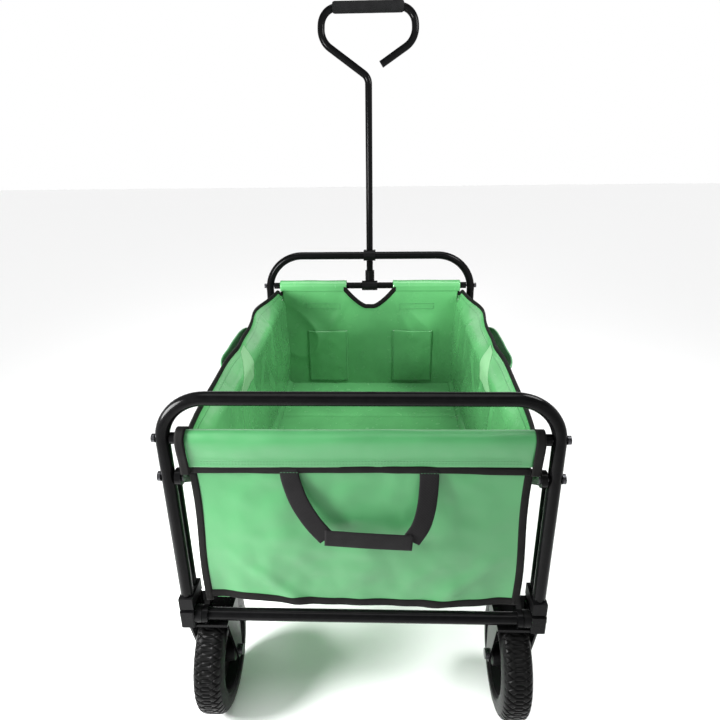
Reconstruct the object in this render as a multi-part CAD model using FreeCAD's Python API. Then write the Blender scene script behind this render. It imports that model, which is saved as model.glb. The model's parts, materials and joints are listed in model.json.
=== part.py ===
import FreeCAD, Part
import math
import os

# Folding wagon with a soft bag, two push-bar frames, side scissors and a pull handle.
# Millimetres. X across the wagon, +Y towards the pull handle, +Z up.
# The origin is on the ground under the middle of the wagon.

# Driving dimensions
LEG_SPACING = 520.0
FRAME_LENGTH = 800.0
REAR_WHEEL_R = 93.0
FRONT_WHEEL_R = 85.0
WHEEL_WIDTH = 45.0
REAR_AXLE_INSET = 40.0
CASTER_TRAIL = 35.0
BASE_Z = 210.0
PIVOT_Z = 454.0
RAIL_Z = 513.0
REAR_BAR_Z = 571.0
FRONT_BAR_Z = 591.0
FLOOR_Z = 238.0
GRIP_Z = 1143.0

# Tubes and bars
TUBE_R = 9.5
TUBE_WALL = 1.2
RAIL_R = 8.0
POST_R = 8.0
MID_TUBE_R = 8.0
POST_SETBACK = 22.0
POST_TOP_Z = 445.0
LEG_BOTTOM_Z = 228.0
REAR_BEND_R = 62.0
FRONT_BEND_R = 88.0
REAR_RAIL_GAP = 1.5
FRONT_RAIL_GAP = 2.5
COLLAR_HEIGHT = 20.0
CORNER_TOP_Z = 224.0
CORNER_REACH = (14.0, 34.0)
CORNER_EDGE_R = 3.0
BRACE_HEIGHT = 18.0
PIN_R = 4.0
RUNNING_GAP = 0.05
BOSS_R = 12.0
TUBE_BOSS_R = 14.0
TUBE_COLLAR_R = 13.0
HEAD_R = 7.0
SMALL_HEAD_R = 6.0
NUT_DEPTH = 2.5
WASHER_GAP = 0.5

# Wheels, forks and casters
AXLE_R = 5.0
AXLE_HEAD_R = 9.0
AXLE_HEAD_DEPTH = 5.0
AXLE_NUT_R = 8.5
FORK_FOOT_R = 12.0
REAR_CROWN_Y = (-8.0, 62.0)
REAR_CROWN_Z = (190.5, 195.0)
REAR_PLATE_HALF = 30.0
CASTER_PLATE_Z = (190.0, 195.0)
CASTER_PLATE_REACH = (30.0, 14.0)
CASTER_CROWN_Y = (-52.0, 12.0)
CASTER_CROWN_Z = (184.0, 189.0)
CASTER_FORK_HALF = 28.0
KINGPIN_R = 6.0
KINGPIN_HEAD_R = 9.0
KINGPIN_HEAD_DEPTH = 5.0
TYRE_DEPTH = 29.0
HUB_R = 17.0
RIM_WEB_HALF = 3.0
RIM_LIP = 5.0
SHOULDER = 14.0

# Bag
CLOTH = 2.5
BAG_HALF_WIDTH = 226.0
SLEEVE_R = 11.5
SLEEVE_HALF_WIDTH = 236.0
PANEL_SETBACK = 2.0
SIDE_HEM_Z = 500.0
SIDE_HEM_SAG = 8.0
NOTCH_HALF_WIDTH = 64.0
NOTCH_BOTTOM_Z = 468.0
NOTCH_FLAT_HALF = 36.0
NOTCH_SLOPE = 20.0
SEAM_GAP = 0.5
SOFT_GAP = 0.3
SIDE_POCKET_X = (250.5, 273.0)
SIDE_POCKET_Z = (362.0, 492.0)
SIDE_POCKET_Y_OFFSET = 20.0
SIDE_POCKET_HALF = (62.0, 116.0)
SIDE_POCKET_SEAM_Z = 478.0
INNER_POCKET_DEPTH = 4.0
INNER_POCKET_X = (58.0, 168.0)
INNER_POCKET_TOP_Z = 393.0

# Carry strap on the rear panel
STRAP_WIDTH = 26.0
STRAP_OFFSET = (15.5, 18.0)
STRAP_Z = (360.0, 462.0)
STRAP_TAB = 6.0

# Pull handle
SHAFT_R = 8.25
SHAFT_OFFSET = 23.0
LOOP_HALF_WIDTH = 108.0
LOOP_TAPER = 4.0
SHAFT_BEND_Z = 1001.0
SHOULDER_Z = 1077.0
FREE_END = (32.0, 1029.0)
HANDLE_BEND_R = (26.0, 44.0, 37.0, 37.0, 44.0)
GRIP_R = 12.5
GRIP_LENGTH = 160.0
SOCKET_HALF = 20.0
SOCKET_WALL = 3.5
SOCKET_DROP = 10.0
SOCKET_RISE = 34.0
CLIP_HALF = 15.0
CLIP_REACH = (8.0, 32.0)
CLIP_PRONG_HALF = 9.0

# Layers of flat parts across the wagon, as distances from its middle plane
HALF = LEG_SPACING / 2
INNER_BRACE = (230.5, 238.5)
OUTER_BRACE = (240.5, 248.5)
BRACKET_X = (249.5, 271.5)
BOLT_HEAD_X = 274.0
WHEEL_X = 234.0
FORK_INNER_X = (203.0, 206.0)
FORK_OUTER_X = (262.0, 265.0)

# The rearmost and foremost points are tyre faces, and the origin is midway between them
TYRE_REAR_REACH = REAR_WHEEL_R - REAR_AXLE_INSET
TYRE_FRONT_REACH = FRONT_WHEEL_R - CASTER_TRAIL
REAR_Y = -(FRAME_LENGTH + TYRE_FRONT_REACH - TYRE_REAR_REACH) / 2
FRONT_Y = REAR_Y + FRAME_LENGTH
MID_Y = REAR_Y + FRAME_LENGTH / 2
CELL = FRAME_LENGTH / 2

Vector = FreeCAD.Vector
X_AXIS = Vector(1, 0, 0)
Z_AXIS = Vector(0, 0, 1)


def block(x, y, z):
    """A box between the two values given for each axis."""
    size = [abs(b - a) for a, b in (x, y, z)]
    corner = Vector(min(x), min(y), min(z))
    return Part.makeBox(size[0], size[1], size[2], corner)


def rod_x(x, y, z, radius):
    return Part.makeCylinder(radius, x[1] - x[0], Vector(x[0], y, z), X_AXIS)


def rod_z(x, y, z, radius):
    return Part.makeCylinder(radius, z[1] - z[0], Vector(x, y, z[0]), Z_AXIS)


def pipe_x(x, y, z, radius, bore):
    return rod_x(x, y, z, radius).cut(rod_x(x, y, z, bore))


def pipe_z(x, y, z, radius, bore):
    return rod_z(x, y, z, radius).cut(rod_z(x, y, z, bore))


def mirrored(shape):
    return shape.mirror(Vector(0, 0, 0), X_AXIS)


def unchanged(shape):
    return shape


SIDES = (("right", unchanged), ("left", mirrored))


def both_sides(shape):
    """A group of a right-hand piece and its left-hand copy."""
    return Part.makeCompound([shape, mirrored(shape)])


def slab_x(x, outline):
    """A flat piece between two X planes, with a (y, z) outline."""
    points = [Vector(x[0], y, z) for y, z in outline]
    face = Part.Face(Part.makePolygon(points + points[:1]))
    return face.extrude(Vector(x[1] - x[0], 0, 0))


def slab_y(y, outline):
    """A flat piece between two Y planes, with an (x, z) outline."""
    points = [Vector(x, y[0], z) for x, z in outline]
    face = Part.Face(Part.makePolygon(points + points[:1]))
    return face.extrude(Vector(0, y[1] - y[0], 0))


def rounded_path(points, radii):
    """Straight runs joined by tangent arcs, one radius for each inner point."""
    edges = []
    start = points[0]
    for before, corner, after, radius in zip(points, points[1:], points[2:], radii):
        back = (before - corner).normalize()
        ahead = (after - corner).normalize()
        half = back.getAngle(ahead) / 2
        reach = radius / math.tan(half)
        centre = corner + (back + ahead).normalize() * (radius / math.sin(half))
        middle = centre + (corner - centre).normalize() * radius
        arc_start = corner + back * reach
        arc_end = corner + ahead * reach
        edges.append(Part.LineSegment(start, arc_start).toShape())
        edges.append(Part.Arc(arc_start, middle, arc_end).toShape())
        start = arc_end
    edges.append(Part.LineSegment(start, points[-1]).toShape())
    return Part.Wire(edges)


def bent_rod(points, radii, radius):
    section = Part.Wire(Part.makeCircle(radius, points[0], points[1] - points[0]))
    return rounded_path(points, radii).makePipeShell([section], True, True)


def bent_tube(points, radii, radius, wall):
    return bent_rod(points, radii, radius).cut(bent_rod(points, radii, radius - wall))


def save(node, shape):
    shape.exportStep(f"parts/{node}.step")


def brace(x, low, high, low_boss, low_bore, high_bore, centre_bore):
    """A flat-oval scissor bar from its low pivot to its high pivot, both (y, z)."""
    dy, dz = high[0] - low[0], high[1] - low[1]
    length = math.hypot(dy, dz)
    ny, nz = -dz / length * BRACE_HEIGHT / 2, dy / length * BRACE_HEIGHT / 2
    outline = [
        (low[0] + ny, low[1] + nz),
        (high[0] + ny, high[1] + nz),
        (high[0] - ny, high[1] - nz),
        (low[0] - ny, low[1] - nz),
    ]
    middle = ((low[0] + high[0]) / 2, (low[1] + high[1]) / 2)
    body = slab_x(x, outline)
    body = body.fuse(rod_x(x, low[0], low[1], low_boss))
    body = body.fuse(rod_x(x, high[0], high[1], BOSS_R))
    body = body.fuse(rod_x(x, middle[0], middle[1], BOSS_R))
    for (y, z), bore in ((low, low_bore), (high, high_bore), (middle, centre_bore)):
        body = body.cut(rod_x(x, y, z, bore))
    return body.removeSplitter()


def base_tube(y):
    return pipe_x((-BRACKET_X[0], BRACKET_X[0]), y, BASE_Z, TUBE_R, TUBE_R - TUBE_WALL)


def guide_posts(y):
    z = (CORNER_TOP_Z, POST_TOP_Z)
    return both_sides(pipe_z(HALF, y, z, POST_R, POST_R - TUBE_WALL))


def corner_bracket(y, inward, bottom_z):
    """The block at a lower corner that holds the cross tube, the post and the wheel."""
    low = y - inward * CORNER_REACH[0]
    high = y + inward * CORNER_REACH[1]
    body = block(BRACKET_X, (low, high), (bottom_z, CORNER_TOP_Z))
    upright = [e for e in body.Edges if abs(e.tangentAt(0).z) > 0.9]
    body = body.makeFillet(CORNER_EDGE_R, upright)
    rivet = rod_x((BRACKET_X[1], BOLT_HEAD_X), y, BASE_Z, SMALL_HEAD_R)
    return body.fuse(rivet)


def push_bar(y, bar_z, bend_r):
    points = [
        Vector(-HALF, y, LEG_BOTTOM_Z),
        Vector(-HALF, y, bar_z),
        Vector(HALF, y, bar_z),
        Vector(HALF, y, LEG_BOTTOM_Z),
    ]
    return bent_tube(points, [bend_r] * 2, TUBE_R, TUBE_WALL)


def bolt_holes(y, heights, bar):
    for z, bore in heights:
        bar = bar.cut(rod_x((-BOLT_HEAD_X, BOLT_HEAD_X), y, z, bore))
    return bar


def cross_rail(y, end_x):
    return pipe_x((-end_x, end_x), y, RAIL_Z, RAIL_R, RAIL_R - TUBE_WALL)


def guide_collar(y, inward):
    """A plastic collar fixed round the foot of a leg that slides on its post."""
    low = y - inward * (TUBE_R + 2.5)
    high = y + inward * (POST_SETBACK + POST_R + 3)
    z = (LEG_BOTTOM_Z, LEG_BOTTOM_Z + COLLAR_HEIGHT)
    body = block((BRACKET_X[0], BRACKET_X[1] - 1), (low, high), z)
    body = body.cut(rod_z(HALF, y, z, TUBE_R))
    return body.cut(rod_z(HALF, y + inward * POST_SETBACK, z, POST_R + RUNNING_GAP))


def frame_bolt(y, rail_end_x):
    """The bolt that holds the cross rail between the legs."""
    head = rod_x((HALF + TUBE_R, BOLT_HEAD_X), y, RAIL_Z, SMALL_HEAD_R)
    return head.fuse(rod_x((rail_end_x, HALF + TUBE_R), y, RAIL_Z, PIN_R - 1))


def pivot_bolt(y, layer):
    """The bolt that a scissor bar turns on, with its head, its spacer and its nut."""
    inner = layer[0] - WASHER_GAP
    shank = rod_x((inner, HALF + TUBE_R), y, PIVOT_Z, PIN_R)
    head = rod_x((HALF + TUBE_R, BOLT_HEAD_X), y, PIVOT_Z, HEAD_R)
    nut = rod_x((inner - NUT_DEPTH, inner), y, PIVOT_Z, HEAD_R)
    bolt = head.fuse(shank).fuse(nut)
    if layer == INNER_BRACE:
        spacer_x = (INNER_BRACE[1] + WASHER_GAP, HALF - TUBE_R - WASHER_GAP)
        bolt = bolt.fuse(rod_x(spacer_x, y, PIVOT_Z, HEAD_R + 0.5))
    return bolt


def pin(y, z):
    """A rivet pin through the two scissor layers."""
    x = (INNER_BRACE[0] - NUT_DEPTH, OUTER_BRACE[1] + WASHER_GAP)
    body = rod_x(x, y, z, PIN_R)
    return body.fuse(rod_x((x[0], INNER_BRACE[0] - WASHER_GAP), y, z, HEAD_R))


def wheel_fork(axle_y, axle_z, crown_y, crown_z, plate_top_half):
    """A crown plate and two side plates round one wheel."""
    fork = block((FORK_INNER_X[0], FORK_OUTER_X[1]), crown_y, crown_z)
    middle = (crown_y[0] + crown_y[1]) / 2
    for x in (FORK_INNER_X, FORK_OUTER_X):
        outline = [
            (middle - plate_top_half, crown_z[0]),
            (middle + plate_top_half, crown_z[0]),
            (axle_y + FORK_FOOT_R, axle_z),
            (axle_y - FORK_FOOT_R, axle_z),
        ]
        plate = slab_x(x, outline).fuse(rod_x(x, axle_y, axle_z, FORK_FOOT_R))
        fork = fork.fuse(plate.cut(rod_x(x, axle_y, axle_z, AXLE_R)))
    return fork


def axle(y, z):
    """An axle bolt with a head outside the fork and a nut inside it."""
    shank = rod_x((FORK_INNER_X[0], FORK_OUTER_X[1]), y, z, AXLE_R)
    head = rod_x((FORK_OUTER_X[1], FORK_OUTER_X[1] + AXLE_HEAD_DEPTH), y, z, AXLE_HEAD_R)
    nut = rod_x((FORK_INNER_X[0] - AXLE_HEAD_DEPTH, FORK_INNER_X[0]), y, z, AXLE_NUT_R)
    return shank.fuse(head).fuse(nut)


def revolved(outline, y, z):
    """A solid of revolution about a wheel's axle, from (offset, radius) points."""
    points = [Vector(WHEEL_X + dx, y, z + r) for dx, r in outline]
    face = Part.Face(Part.makePolygon(points + points[:1]))
    return face.revolve(Vector(WHEEL_X, y, z), X_AXIS, 360)


def rim(y, z, outer):
    """A dished plastic rim with a long hub."""
    hub = WHEEL_WIDTH / 2 + 2
    ring = WHEEL_WIDTH / 2 - 4
    outline = [
        (-hub, AXLE_R + RUNNING_GAP),
        (hub, AXLE_R + RUNNING_GAP),
        (hub, HUB_R),
        (RIM_WEB_HALF, HUB_R + 3),
        (RIM_WEB_HALF, outer - RIM_LIP - 4),
        (ring, outer - RIM_LIP),
        (ring, outer),
        (-ring, outer),
        (-ring, outer - RIM_LIP),
        (-RIM_WEB_HALF, outer - RIM_LIP - 4),
        (-RIM_WEB_HALF, HUB_R + 3),
        (-hub, HUB_R),
    ]
    return revolved(outline, y, z)


def tyre(y, z, outer, inner):
    """A solid tyre with rounded shoulders."""
    half = WHEEL_WIDTH / 2
    outline = [
        (-half + 4, inner),
        (half - 4, inner),
        (half - 1, inner + 6),
        (half, outer - 11),
        (half - 2, outer - 5),
        (half - SHOULDER / 2, outer - 1.2),
        (half - SHOULDER, outer),
        (-half + SHOULDER, outer),
        (-half + SHOULDER / 2, outer - 1.2),
        (-half + 2, outer - 5),
        (-half, outer - 11),
        (-half + 1, inner + 6),
    ]
    return revolved(outline, y, z)


def make_rear_base():
    save("rear_cross_tube", base_tube(REAR_Y))
    save("rear_guide_posts", guide_posts(REAR_Y + POST_SETBACK))
    bracket = corner_bracket(REAR_Y, 1, REAR_CROWN_Z[1])
    save("rear_corner_right", bracket)
    save("rear_corner_left", mirrored(bracket))
    collar = pipe_x((INNER_BRACE[1] + 1, OUTER_BRACE[1] + 1), REAR_Y, BASE_Z, TUBE_COLLAR_R, TUBE_R)
    save("rear_tube_collars", both_sides(collar))
    axle_y = REAR_Y + REAR_AXLE_INSET
    crown_y = (REAR_Y + REAR_CROWN_Y[0], REAR_Y + REAR_CROWN_Y[1])
    fork = wheel_fork(axle_y, REAR_WHEEL_R, crown_y, REAR_CROWN_Z, REAR_PLATE_HALF)
    save("rear_fork_right", fork)
    save("rear_fork_left", mirrored(fork))
    save("rear_axles", both_sides(axle(axle_y, REAR_WHEEL_R)))


def make_front_base():
    save("front_cross_tube", base_tube(FRONT_Y))
    save("front_guide_posts", guide_posts(FRONT_Y - POST_SETBACK))
    bracket = corner_bracket(FRONT_Y, -1, CASTER_PLATE_Z[0])
    plate_y = (FRONT_Y - CASTER_PLATE_REACH[0], FRONT_Y + CASTER_PLATE_REACH[1])
    plate = block((FORK_INNER_X[0], BRACKET_X[0] + 1), plate_y, CASTER_PLATE_Z)
    plate = plate.cut(rod_z(WHEEL_X, FRONT_Y, CASTER_PLATE_Z, KINGPIN_R + RUNNING_GAP))
    bracket = bracket.fuse(plate)
    save("front_corner_right", bracket)
    save("front_corner_left", mirrored(bracket))
    collar = pipe_x((INNER_BRACE[0] - 2, OUTER_BRACE[0] - 1), FRONT_Y, BASE_Z, TUBE_COLLAR_R, TUBE_R)
    save("front_tube_collars", both_sides(collar))


def make_push_frame(name, y, inward, bar, layer):
    """A U push bar, given by its height, bend and rail gap, with its rail, collars and bolts."""
    bar_z, bend_r, rail_gap = bar
    rail_end_x = HALF - TUBE_R - rail_gap
    heights = ((RAIL_Z, PIN_R - 1), (PIVOT_Z, PIN_R))
    save(f"{name}_push_bar", bolt_holes(y, heights, push_bar(y, bar_z, bend_r)))
    save(f"{name}_cross_rail", cross_rail(y, rail_end_x))
    save(f"{name}_guide_collars", both_sides(guide_collar(y, inward)))
    save(f"{name}_frame_bolts", both_sides(frame_bolt(y, rail_end_x)))
    save(f"{name}_pivot_bolts", both_sides(pivot_bolt(y, layer)))


def make_scissors():
    """Two scissor cells on each side. Left and right bars share a node."""
    tight = PIN_R
    loose = PIN_R + RUNNING_GAP
    on_tube = TUBE_R + RUNNING_GAP
    rear_low, rear_high = (REAR_Y, BASE_Z), (REAR_Y, PIVOT_Z)
    mid_low, mid_high = (MID_Y, BASE_Z), (MID_Y, PIVOT_Z)
    front_low, front_high = (FRONT_Y, BASE_Z), (FRONT_Y, PIVOT_Z)
    bars = {
        "rear_brace_inner": brace(INNER_BRACE, rear_low, mid_high, TUBE_BOSS_R, on_tube, tight, tight),
        "rear_brace_outer": brace(OUTER_BRACE, mid_low, rear_high, TUBE_BOSS_R, MID_TUBE_R, loose, loose),
        "front_brace_inner": brace(
            INNER_BRACE, mid_low, front_high, TUBE_BOSS_R, MID_TUBE_R + RUNNING_GAP, loose, tight
        ),
        "front_brace_outer": brace(OUTER_BRACE, front_low, mid_high, TUBE_BOSS_R, on_tube, loose, loose),
    }
    for name, bar in bars.items():
        save(name, both_sides(bar))
    centre_z = (BASE_Z + PIVOT_Z) / 2
    save("rear_centre_pins", both_sides(pin(REAR_Y + CELL / 2, centre_z)))
    save("front_centre_pins", both_sides(pin(MID_Y + CELL / 2, centre_z)))
    save("top_pins", both_sides(pin(MID_Y, PIVOT_Z)))
    x = (-OUTER_BRACE[1], OUTER_BRACE[1])
    save("middle_cross_tube", pipe_x(x, MID_Y, BASE_Z, MID_TUBE_R, MID_TUBE_R - TUBE_WALL))


def sleeve(y):
    x = (-SLEEVE_HALF_WIDTH, SLEEVE_HALF_WIDTH)
    return pipe_x(x, y, RAIL_Z, SLEEVE_R, RAIL_R + SOFT_GAP)


def end_panel(y, inward):
    """A bag end that hangs from a sleeve round the cross rail."""
    near = y + inward * PANEL_SETBACK
    far = near + inward * CLOTH
    top = RAIL_Z - RAIL_R - 1.5
    panel = block((-BAG_HALF_WIDTH, BAG_HALF_WIDTH), (near, far), (FLOOR_Z - CLOTH, top))
    return sleeve(y).fuse(panel)


def inside_length():
    """The y values just inside the two end panels."""
    inset = PANEL_SETBACK + CLOTH + SEAM_GAP
    return REAR_Y + inset, FRONT_Y - inset


def side_panel():
    """A bag side with a top hem that sags between the end frames."""
    low, high = inside_length()
    steps = 12
    hem = []
    for i in range(steps + 1):
        share = i / steps
        sag = SIDE_HEM_SAG * 4 * share * (1 - share)
        hem.append((high + (low - high) * share, SIDE_HEM_Z - sag))
    outline = [(low, FLOOR_Z - CLOTH), (high, FLOOR_Z - CLOTH)] + hem
    return slab_x((BAG_HALF_WIDTH - CLOTH, BAG_HALF_WIDTH), outline)


def side_pocket():
    """An outside pouch hung from the hem, clear of the scissor bars behind it."""
    centre = MID_Y + SIDE_POCKET_Y_OFFSET
    low_half, high_half = SIDE_POCKET_HALF
    bottom, top = SIDE_POCKET_Z

    def outline(inset):
        return [
            (centre - high_half + inset, top),
            (centre + high_half - inset, top),
            (centre + low_half - inset, bottom + inset),
            (centre - low_half + inset, bottom + inset),
        ]

    start, end = SIDE_POCKET_X
    shell = slab_x(SIDE_POCKET_X, outline(0.0))
    shell = shell.cut(slab_x((start + CLOTH, end - CLOTH), outline(CLOTH)))
    seam_y = (centre - high_half, centre + high_half)
    seam_x = (BAG_HALF_WIDTH + SOFT_GAP, start + CLOTH)
    return shell.fuse(block(seam_x, seam_y, (SIDE_POCKET_SEAM_Z, SIDE_POCKET_SEAM_Z + CLOTH)))


def carry_strap():
    """A webbing loop sewn to the rear panel, standing off it for a hand."""
    web = STRAP_WIDTH
    y = (REAR_Y - STRAP_OFFSET[1], REAR_Y - STRAP_OFFSET[0])
    bottom, top = STRAP_Z
    left_x = (-106.0, -106.0 + web)
    right_x = (104.0 - web + 2, 104.0)
    fold_x = (-50.0, 72.0)
    left = slab_y(y, [(left_x[0], top), (left_x[1], top), (-32, bottom + web), (fold_x[0], bottom)])
    across = slab_y(y, [(fold_x[0], bottom), (fold_x[1], bottom), (60, bottom + web), (-34, bottom + web)])
    right = slab_y(y, [(right_x[0], top), (right_x[1], top), (fold_x[1] + 2, bottom), (54, bottom + web)])
    strap = left.fuse(across).fuse(right)
    for x in (left_x, right_x):
        strap = strap.fuse(block(x, (y[0], REAR_Y + PANEL_SETBACK - 0.1), (top - STRAP_TAB, top)))
    return strap.removeSplitter()


def notch():
    """The space cut from the front panel's top edge round the handle's hinge."""
    y = (FRONT_Y - 20, FRONT_Y + 20)
    slope_top = NOTCH_BOTTOM_Z + NOTCH_SLOPE
    outline = [
        (-NOTCH_HALF_WIDTH, RAIL_Z + 20),
        (NOTCH_HALF_WIDTH, RAIL_Z + 20),
        (NOTCH_HALF_WIDTH, slope_top),
        (NOTCH_FLAT_HALF, NOTCH_BOTTOM_Z),
        (-NOTCH_FLAT_HALF, NOTCH_BOTTOM_Z),
        (-NOTCH_HALF_WIDTH, slope_top),
    ]
    return slab_y(y, outline)


def make_bag():
    save("bag_rear_panel", end_panel(REAR_Y, 1))
    save("bag_front_panel", end_panel(FRONT_Y, -1).cut(notch()))
    side = side_panel()
    save("bag_side_right", side)
    save("bag_side_left", mirrored(side))
    low, high = inside_length()
    x = BAG_HALF_WIDTH - CLOTH - SOFT_GAP
    save("bag_floor", block((-x, x), (low, high - INNER_POCKET_DEPTH), (FLOOR_Z - CLOTH, FLOOR_Z)))
    pocket = side_pocket()
    save("side_pocket_right", pocket)
    save("side_pocket_left", mirrored(pocket))
    panel_face = FRONT_Y - PANEL_SETBACK - CLOTH
    pocket_y = (panel_face - INNER_POCKET_DEPTH, panel_face)
    inner = block(INNER_POCKET_X, pocket_y, (FLOOR_Z + 3, INNER_POCKET_TOP_Z))
    save("inner_pockets", both_sides(inner))
    save("rear_carry_strap", carry_strap())


def make_handle():
    """The bent pull handle with its foam grip, end cap and hinge socket."""
    y = FRONT_Y + SHAFT_OFFSET
    foot_z = RAIL_Z + 4
    top_x = LOOP_HALF_WIDTH - LOOP_TAPER
    points = [
        Vector(0, y, foot_z),
        Vector(0, y, SHAFT_BEND_Z),
        Vector(-LOOP_HALF_WIDTH, y, SHOULDER_Z),
        Vector(-top_x, y, GRIP_Z),
        Vector(top_x, y, GRIP_Z),
        Vector(LOOP_HALF_WIDTH, y, SHOULDER_Z),
        Vector(FREE_END[0], y, FREE_END[1]),
    ]
    save("handle_tube", bent_tube(points, HANDLE_BEND_R, SHAFT_R, TUBE_WALL))
    half = GRIP_LENGTH / 2
    grip = pipe_x((-half, half), y, GRIP_Z, GRIP_R, SHAFT_R)
    save("handle_grip", grip.cut(bent_rod(points, HANDLE_BEND_R, SHAFT_R + RUNNING_GAP)))
    run = (points[6] - points[5]).normalize()
    cap = Part.makeCylinder(SHAFT_R, 3, points[6], run)
    plug = Part.makeCylinder(SHAFT_R - TUBE_WALL, 10, points[6] - run * 10, run)
    save("handle_end_cap", cap.fuse(plug))
    cup_z = (RAIL_Z - SOCKET_DROP, RAIL_Z + SOCKET_RISE)
    ring = rod_x((-SOCKET_HALF, SOCKET_HALF), FRONT_Y, RAIL_Z, RAIL_R + SOCKET_WALL + 1)
    cup = rod_z(0, y, cup_z, SHAFT_R + SOCKET_WALL)
    web = block((-9, 9), (FRONT_Y, y), (cup_z[0], RAIL_Z + 11))
    socket = ring.fuse(cup).fuse(web)
    bore_x = (-SOCKET_HALF - 1, SOCKET_HALF + 1)
    socket = socket.cut(rod_x(bore_x, FRONT_Y, RAIL_Z, RAIL_R + RUNNING_GAP))
    socket = socket.cut(rod_z(0, y, (foot_z, cup_z[1] + 1), SHAFT_R))
    save("handle_socket", socket)


def make_handle_clip():
    """An open U clip on the front bar that the shaft snaps into."""
    x = (-CLIP_HALF, CLIP_HALF)
    ring = pipe_x(x, FRONT_Y, FRONT_BAR_Z, TUBE_R + SOCKET_WALL, TUBE_R)
    mouth_half = SHAFT_R + 0.6
    mouth_y = (FRONT_Y + TUBE_R + 4, FRONT_Y + CLIP_REACH[1] + 8)
    slot = block((-mouth_half, mouth_half), mouth_y, (FRONT_BAR_Z - 30, FRONT_BAR_Z + 30))
    prong_y = (FRONT_Y + CLIP_REACH[0], FRONT_Y + CLIP_REACH[1])
    prong_z = (FRONT_BAR_Z - CLIP_PRONG_HALF, FRONT_BAR_Z + CLIP_PRONG_HALF)
    prongs = block(x, prong_y, prong_z)
    prongs = prongs.cut(rod_x((x[0] - 1, x[1] + 1), FRONT_Y, FRONT_BAR_Z, TUBE_R + 1))
    save("handle_clip", ring.fuse(prongs).cut(slot))


def make_wheel(name, y, z, outer):
    inner = outer - TYRE_DEPTH
    for side, place in SIDES:
        save(f"{name}_rim_{side}", place(rim(y, z, inner)))
        save(f"{name}_tyre_{side}", place(tyre(y, z, outer, inner)))


def make_casters():
    axle_y = FRONT_Y - CASTER_TRAIL
    crown_y = (FRONT_Y + CASTER_CROWN_Y[0], FRONT_Y + CASTER_CROWN_Y[1])
    fork = wheel_fork(axle_y, FRONT_WHEEL_R, crown_y, CASTER_CROWN_Z, CASTER_FORK_HALF)
    fork = fork.cut(rod_z(WHEEL_X, FRONT_Y, CASTER_CROWN_Z, KINGPIN_R))
    foot_z = CASTER_CROWN_Z[0] - KINGPIN_HEAD_DEPTH
    kingpin = rod_z(WHEEL_X, FRONT_Y, (foot_z, CASTER_PLATE_Z[1] + 1), KINGPIN_R)
    kingpin = kingpin.fuse(rod_z(WHEEL_X, FRONT_Y, (foot_z, CASTER_CROWN_Z[0]), KINGPIN_HEAD_R))
    bolt = axle(axle_y, FRONT_WHEEL_R)
    for side, place in SIDES:
        save(f"caster_fork_{side}", place(fork))
        save(f"kingpin_{side}", place(kingpin))
        save(f"caster_axle_{side}", place(bolt))


os.makedirs("parts", exist_ok=True)
make_rear_base()
make_front_base()
make_push_frame("rear", REAR_Y, 1, (REAR_BAR_Z, REAR_BEND_R, REAR_RAIL_GAP), OUTER_BRACE)
make_push_frame("front", FRONT_Y, -1, (FRONT_BAR_Z, FRONT_BEND_R, FRONT_RAIL_GAP), INNER_BRACE)
make_scissors()
make_bag()
make_handle()
make_handle_clip()
make_casters()
make_wheel("rear", REAR_Y + REAR_AXLE_INSET, REAR_WHEEL_R, REAR_WHEEL_R)
make_wheel("front", FRONT_Y - CASTER_TRAIL, FRONT_WHEEL_R, FRONT_WHEEL_R)
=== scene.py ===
import json
import math

import bmesh
import bpy
from mathutils import Matrix, Vector, noise


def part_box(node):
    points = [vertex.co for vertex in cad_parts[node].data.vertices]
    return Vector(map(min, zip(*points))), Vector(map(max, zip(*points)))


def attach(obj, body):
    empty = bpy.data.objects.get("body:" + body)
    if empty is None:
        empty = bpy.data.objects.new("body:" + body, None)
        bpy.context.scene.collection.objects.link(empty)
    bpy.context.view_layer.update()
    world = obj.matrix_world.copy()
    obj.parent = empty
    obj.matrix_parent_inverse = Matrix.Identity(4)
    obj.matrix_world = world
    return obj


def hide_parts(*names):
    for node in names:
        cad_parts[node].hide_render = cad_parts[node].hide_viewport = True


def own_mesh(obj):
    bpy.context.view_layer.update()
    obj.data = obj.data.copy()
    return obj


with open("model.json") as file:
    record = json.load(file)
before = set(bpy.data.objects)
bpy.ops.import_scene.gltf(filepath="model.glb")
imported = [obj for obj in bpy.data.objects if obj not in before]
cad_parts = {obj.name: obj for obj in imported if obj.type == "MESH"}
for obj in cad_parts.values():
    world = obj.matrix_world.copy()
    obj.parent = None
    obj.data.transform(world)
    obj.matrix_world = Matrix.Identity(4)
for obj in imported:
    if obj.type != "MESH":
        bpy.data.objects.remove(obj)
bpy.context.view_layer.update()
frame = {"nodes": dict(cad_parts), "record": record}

# ---------------------------------------------------------------- places taken from the frame


def corners(node):
    low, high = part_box(node)
    return Vector(low), Vector(high)


def middle(node):
    low, high = corners(node)
    return (low + high) / 2


def half_size(node):
    low, high = corners(node)
    return (high - low) / 2


rear_rail = middle("rear_cross_rail")
REAR_Y, FRONT_Y, RAIL_Z = rear_rail.y, middle("front_cross_rail").y, rear_rail.z
LENGTH = FRONT_Y - REAR_Y
MID_Y = (REAR_Y + FRONT_Y) / 2
RAIL_R = half_size("rear_cross_rail").z
FLOOR_Z = corners("bag_floor")[1].z
BAG_HALF = corners("bag_side_right")[1].x
SLEEVE_HALF = corners("bag_rear_panel")[1].x

# ---------------------------------------------------------------- sizes of the cloth, in metres

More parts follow.
